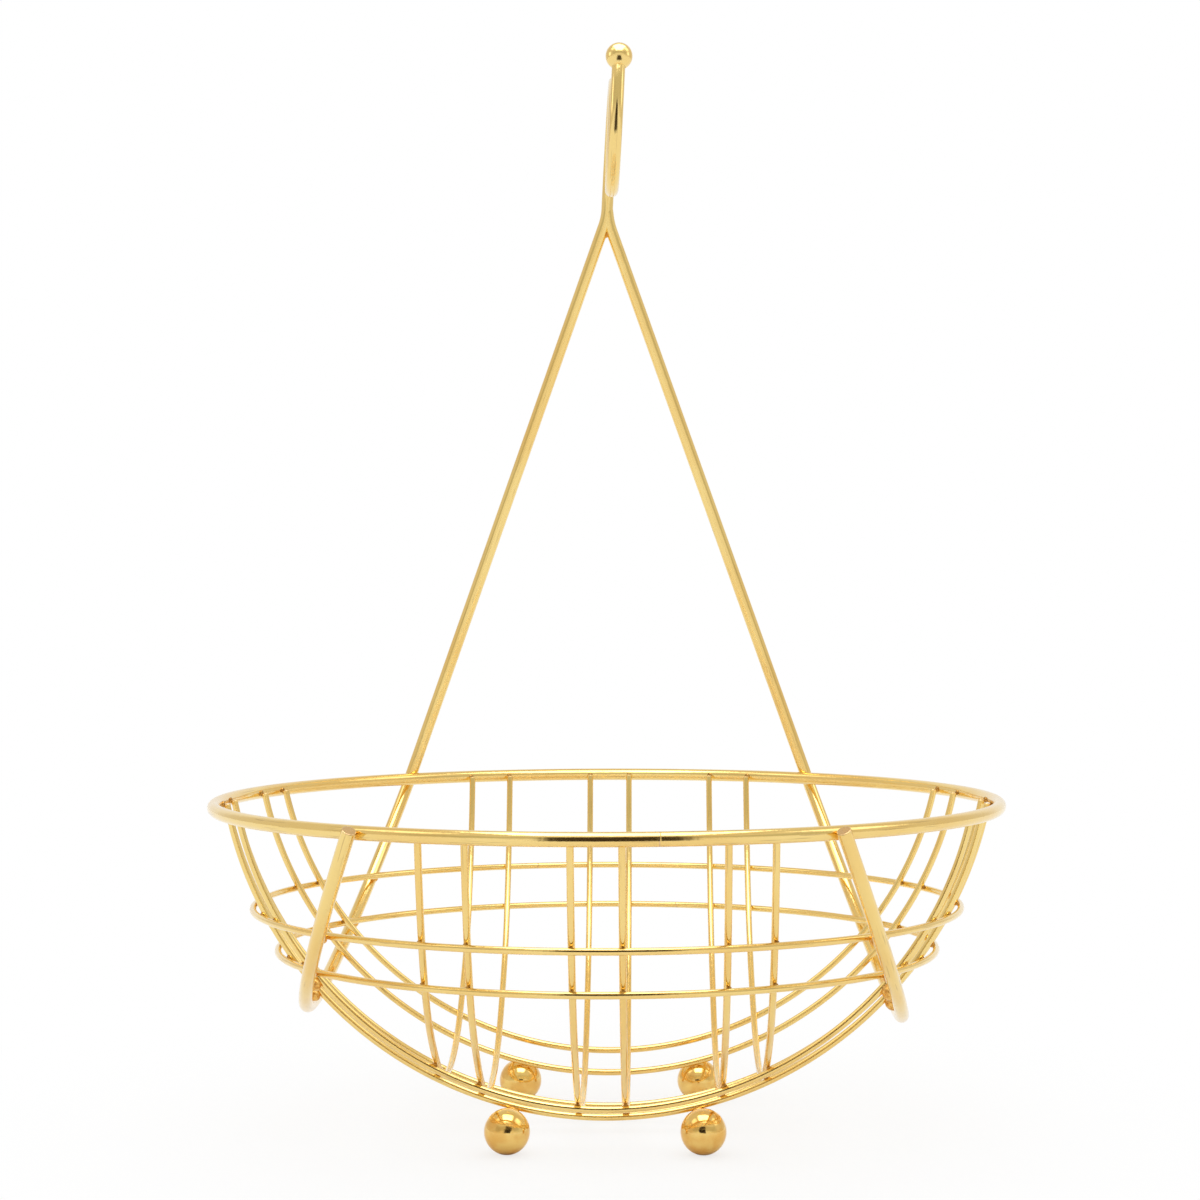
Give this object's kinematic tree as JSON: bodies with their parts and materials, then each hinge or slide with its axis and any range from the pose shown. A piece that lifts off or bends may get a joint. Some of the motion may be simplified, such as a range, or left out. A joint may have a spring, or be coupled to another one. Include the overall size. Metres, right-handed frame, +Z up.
{
  "type": "wire fruit basket with banana hanger",
  "caption": "Round gold wire basket with a lattice bowl on ball feet, and a tall bent wire hanger behind it that ends in an open hook over the bowl.",
  "frame": {"origin": "on the plane that the ball feet stand on, under the middle of the bowl's rim", "axes": "+Z up, +Y to the back where the hanger's legs stand, -Y to the front that the hook reaches towards, +X to the right seen from the front"},
  "size_m": [0.2848, 0.2848, 0.3939],
  "materials": {
    "thick_wire": "polished gold-coloured plate on thick wire",
    "thin_wire": "polished gold-coloured plate on thin wire",
    "ball": "polished gold-coloured plate on a solid ball"
  },
  "bodies": {
    "root": {"rim": "thick_wire", "upper_hoop": "thin_wire", "lower_hoop": "thin_wire", "long_wire_1": "thin_wire", "long_wire_2": "thin_wire", "long_wire_3": "thin_wire", "long_wire_4": "thin_wire", "long_wire_5": "thin_wire", "long_wire_6": "thin_wire", "cross_wire_1": "thin_wire", "cross_wire_2": "thin_wire", "cross_wire_3": "thin_wire", "cross_wire_4": "thin_wire", "cross_wire_5": "thin_wire", "cross_wire_6": "thin_wire", "foot_front_left": "ball", "foot_front_right": "ball", "foot_rear_left": "ball", "foot_rear_right": "ball", "hook_wire": "thick_wire", "brace_wire": "thick_wire", "hook_ball": "ball"}
  },
  "joints": []
}
